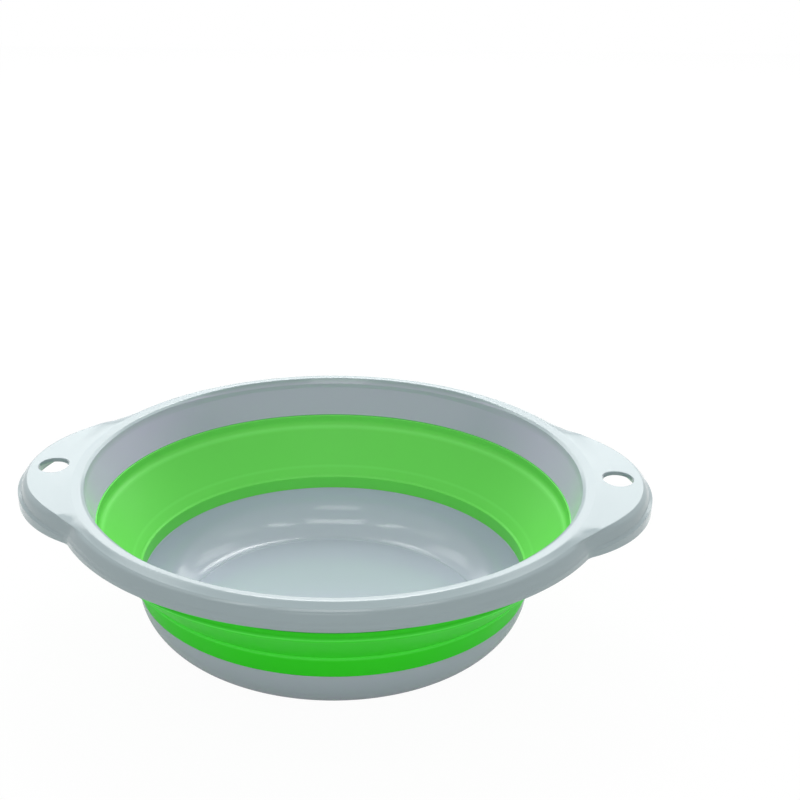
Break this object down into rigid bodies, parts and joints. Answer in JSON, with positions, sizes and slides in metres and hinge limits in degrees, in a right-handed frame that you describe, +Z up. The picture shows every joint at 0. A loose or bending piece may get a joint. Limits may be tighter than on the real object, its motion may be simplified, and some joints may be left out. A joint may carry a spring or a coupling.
{
  "type": "collapsible wash basin",
  "caption": "Round collapsible wash basin with a hard rim and two pierced ears, a soft folding band and a hard base bowl.",
  "frame": {"origin": "centre of the base's underside, on the surface that the basin stands on", "axes": "+Z up along the basin's axis, +X through the ears"},
  "size_m": [0.358, 0.31, 0.0943],
  "materials": {
    "rim_plastic": "satin moulded polypropylene",
    "base_plastic": "satin moulded polypropylene",
    "band_rubber": "smooth soft rubber"
  },
  "bodies": {
    "base": {"base_bowl": "base_plastic", "band_lower_collar": "band_rubber"},
    "band": {"band_panel": "band_rubber"},
    "rim": {"rim_frame": "rim_plastic", "band_upper_collar": "band_rubber"}
  },
  "joints": [
    {"name": "collapse", "type": "slide", "parent": "base", "child": "rim", "axis": [0, 0, -1], "range_m": [0, 0.0488]},
    {"name": "band_fold", "type": "slide", "parent": "base", "child": "band", "axis": [0, 0, -1], "range_m": [0, 0.0244]}
  ],
  "couplings": [
    {"joint": "band_fold", "follows": "collapse", "ratio": 0.5}
  ]
}
